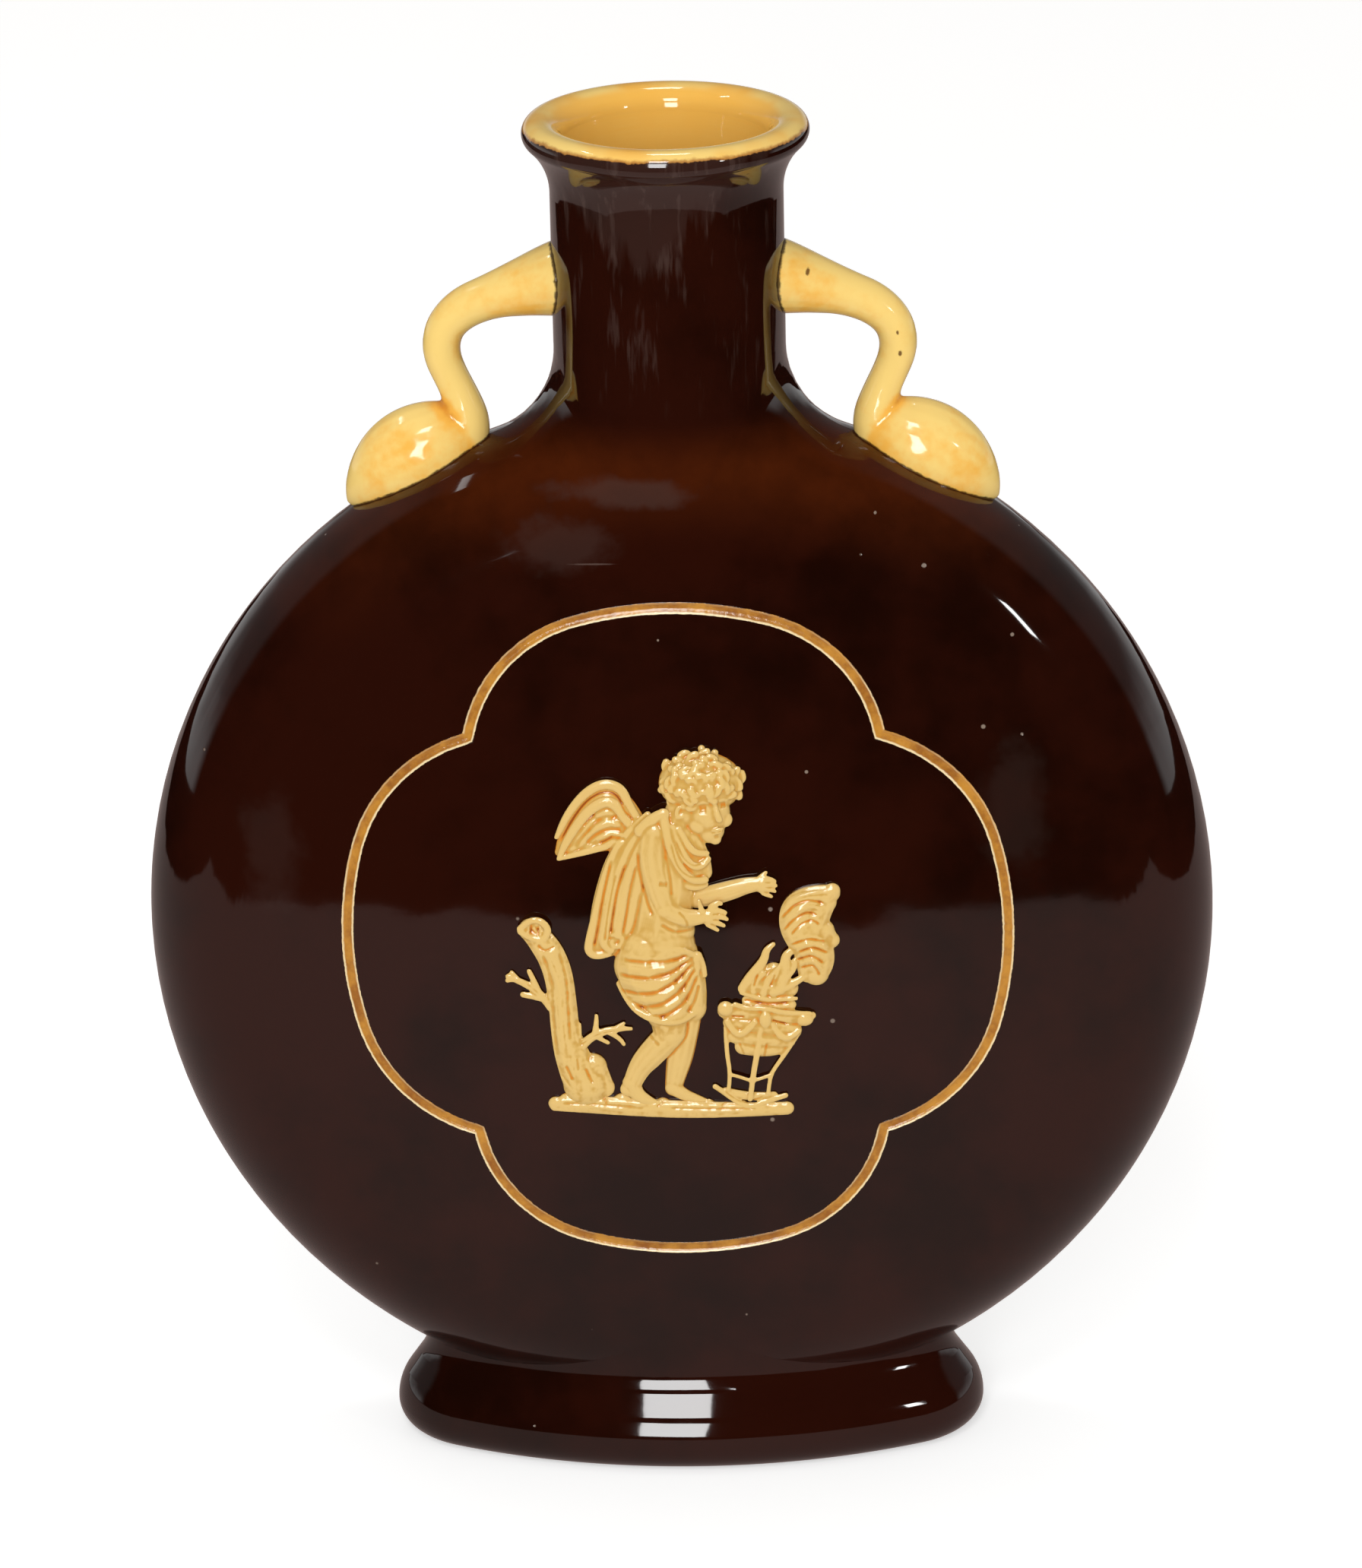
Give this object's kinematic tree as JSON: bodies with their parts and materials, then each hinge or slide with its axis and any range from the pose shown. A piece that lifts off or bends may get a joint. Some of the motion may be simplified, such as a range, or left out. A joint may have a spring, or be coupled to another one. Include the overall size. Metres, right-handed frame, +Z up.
{
  "type": "pilgrim flask",
  "caption": "Flat round pilgrim flask on an oval foot, with a short flared neck, looped handles and a relief figure in a four-lobed line.",
  "frame": {"origin": "on the ground under the middle of the oval foot", "axes": "+Z up along the neck, +X to the right handle, the face with the relief looks towards -Y"},
  "size_m": [0.1924, 0.0527, 0.25],
  "materials": {
    "brown_glaze": "gloss",
    "cream_glaze": "gloss",
    "line_glaze": "gloss"
  },
  "bodies": {
    "root": {"body_front": "brown_glaze", "body_back": "brown_glaze", "neck": "brown_glaze", "foot": "brown_glaze", "lip": "cream_glaze", "handle_left": "cream_glaze", "handle_right": "cream_glaze", "line_front": "line_glaze", "line_back": "line_glaze", "sprig_ground": "cream_glaze", "sprig_stump": "cream_glaze", "sprig_figure": "cream_glaze", "sprig_brazier": "cream_glaze"}
  },
  "joints": []
}
